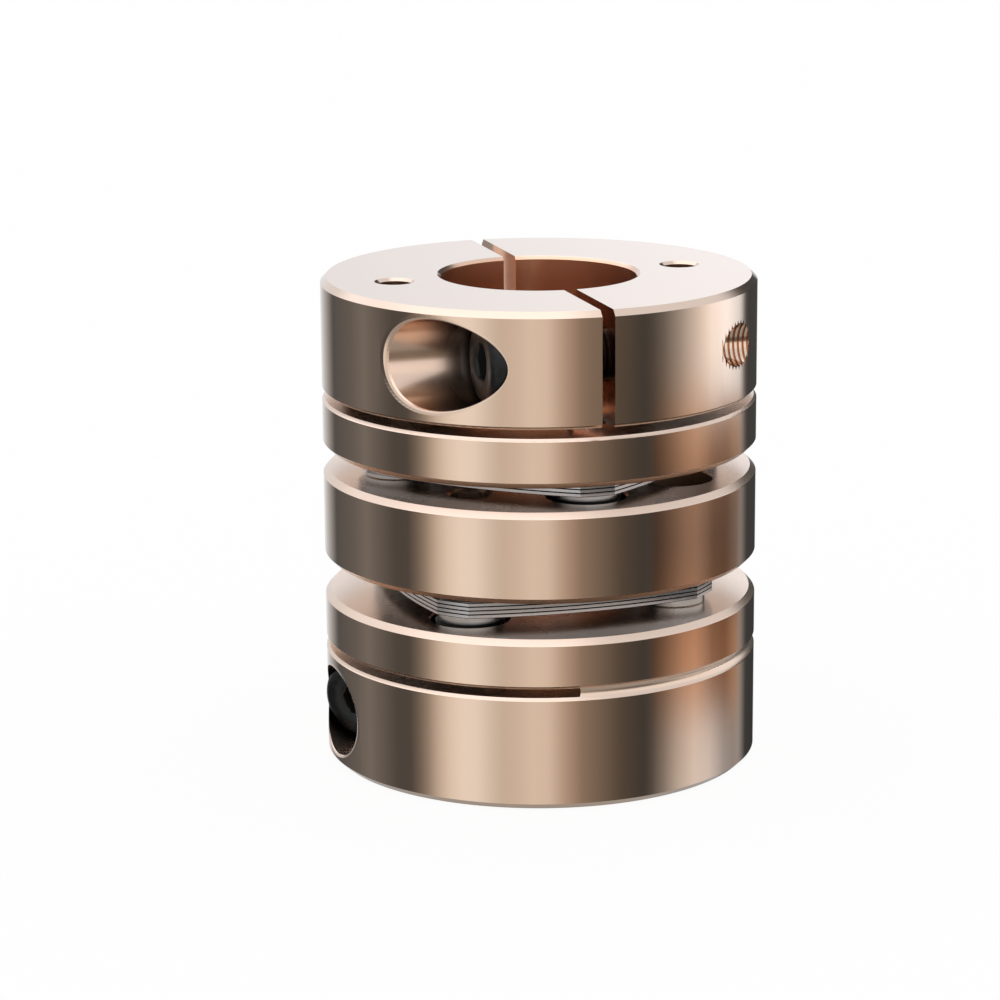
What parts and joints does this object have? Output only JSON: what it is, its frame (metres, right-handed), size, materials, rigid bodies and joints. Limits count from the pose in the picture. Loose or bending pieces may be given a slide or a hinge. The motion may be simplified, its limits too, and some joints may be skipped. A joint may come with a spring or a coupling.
{
  "type": "double-disc shaft coupling",
  "caption": "Double-disc shaft coupling: two slit clamp hubs and a centre spacer joined by two packs of thin spring-steel leaves.",
  "frame": {"origin": "centre of the lower hub's end face, on which the coupling stands", "axes": "+Z along the shaft axis from the lower hub to the upper one; -Y towards the clamping slit of the upper hub"},
  "size_m": [0.0446, 0.0446, 0.05],
  "materials": {
    "anodised_aluminium": "turned and anodised, champagne to pale bronze, glossy",
    "spring_steel": "bright rolled stainless strip",
    "collar_steel": "plain turned steel",
    "black_screw_steel": "black oxide, satin"
  },
  "bodies": {
    "root": {"upper_hub": "anodised_aluminium", "lower_hub": "anodised_aluminium", "centre_spacer": "anodised_aluminium", "upper_clamp_screw": "black_screw_steel", "lower_clamp_screw": "black_screw_steel", "upper_leaf_1": "spring_steel", "upper_leaf_2": "spring_steel", "upper_leaf_3": "spring_steel", "upper_leaf_4": "spring_steel", "lower_leaf_1": "spring_steel", "lower_leaf_2": "spring_steel", "lower_leaf_3": "spring_steel", "lower_leaf_4": "spring_steel", "upper_screw_1": "black_screw_steel", "upper_screw_2": "black_screw_steel", "upper_screw_3": "black_screw_steel", "upper_screw_4": "black_screw_steel", "lower_screw_1": "black_screw_steel", "lower_screw_2": "black_screw_steel", "lower_screw_3": "black_screw_steel", "lower_screw_4": "black_screw_steel", "upper_collar_1": "collar_steel", "upper_collar_2": "collar_steel", "upper_collar_3": "collar_steel", "upper_collar_4": "collar_steel", "lower_collar_1": "collar_steel", "lower_collar_2": "collar_steel", "lower_collar_3": "collar_steel", "lower_collar_4": "collar_steel", "lower_washer_1": "collar_steel", "lower_washer_2": "collar_steel", "lower_washer_3": "collar_steel", "lower_washer_4": "collar_steel", "upper_shim_1": "collar_steel", "upper_shim_3": "collar_steel", "upper_washer_2": "collar_steel", "upper_washer_4": "collar_steel"}
  },
  "joints": []
}
